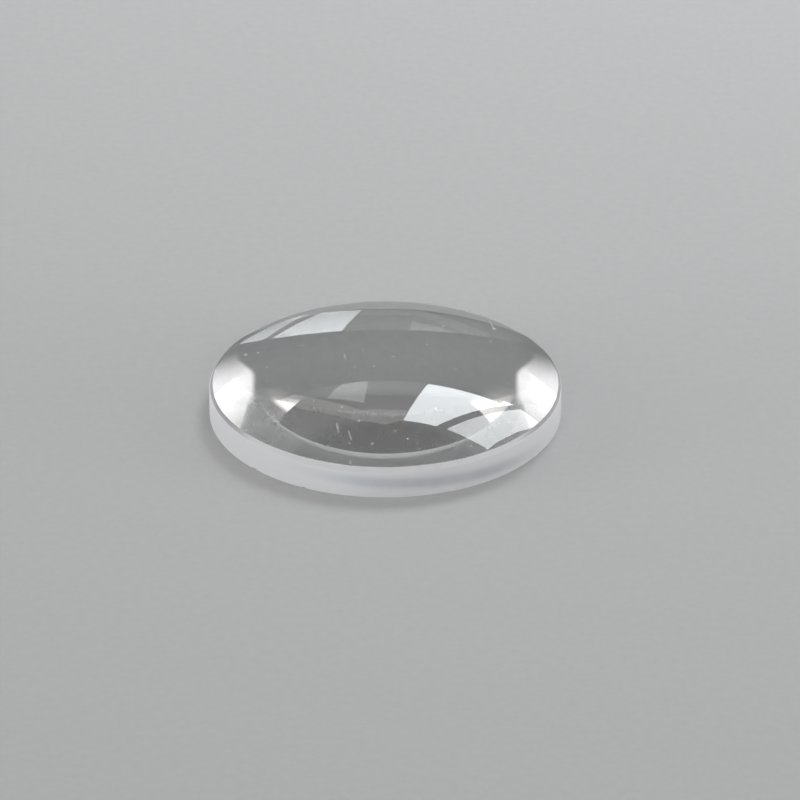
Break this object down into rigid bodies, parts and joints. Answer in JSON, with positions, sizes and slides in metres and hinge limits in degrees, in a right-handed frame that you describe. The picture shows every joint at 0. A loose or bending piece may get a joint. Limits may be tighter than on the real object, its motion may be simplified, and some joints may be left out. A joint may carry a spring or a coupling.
{
  "type": "plano-convex lens",
  "caption": "Round plano-convex glass lens: flat polished face, domed polished face, fine-ground cylindrical edge with narrow bevels, chipped and dusty from use.",
  "frame": {"origin": "centre of the flat face, which rests on the surface", "axes": "+Z along the optical axis, from the flat face towards the convex face"},
  "size_m": [0.0254, 0.0254, 0.005],
  "materials": {
    "optical_glass": "clear crown glass, both faces polished, edge and bevels fine-ground"
  },
  "bodies": {
    "root": {"lens": "optical_glass"}
  },
  "joints": []
}
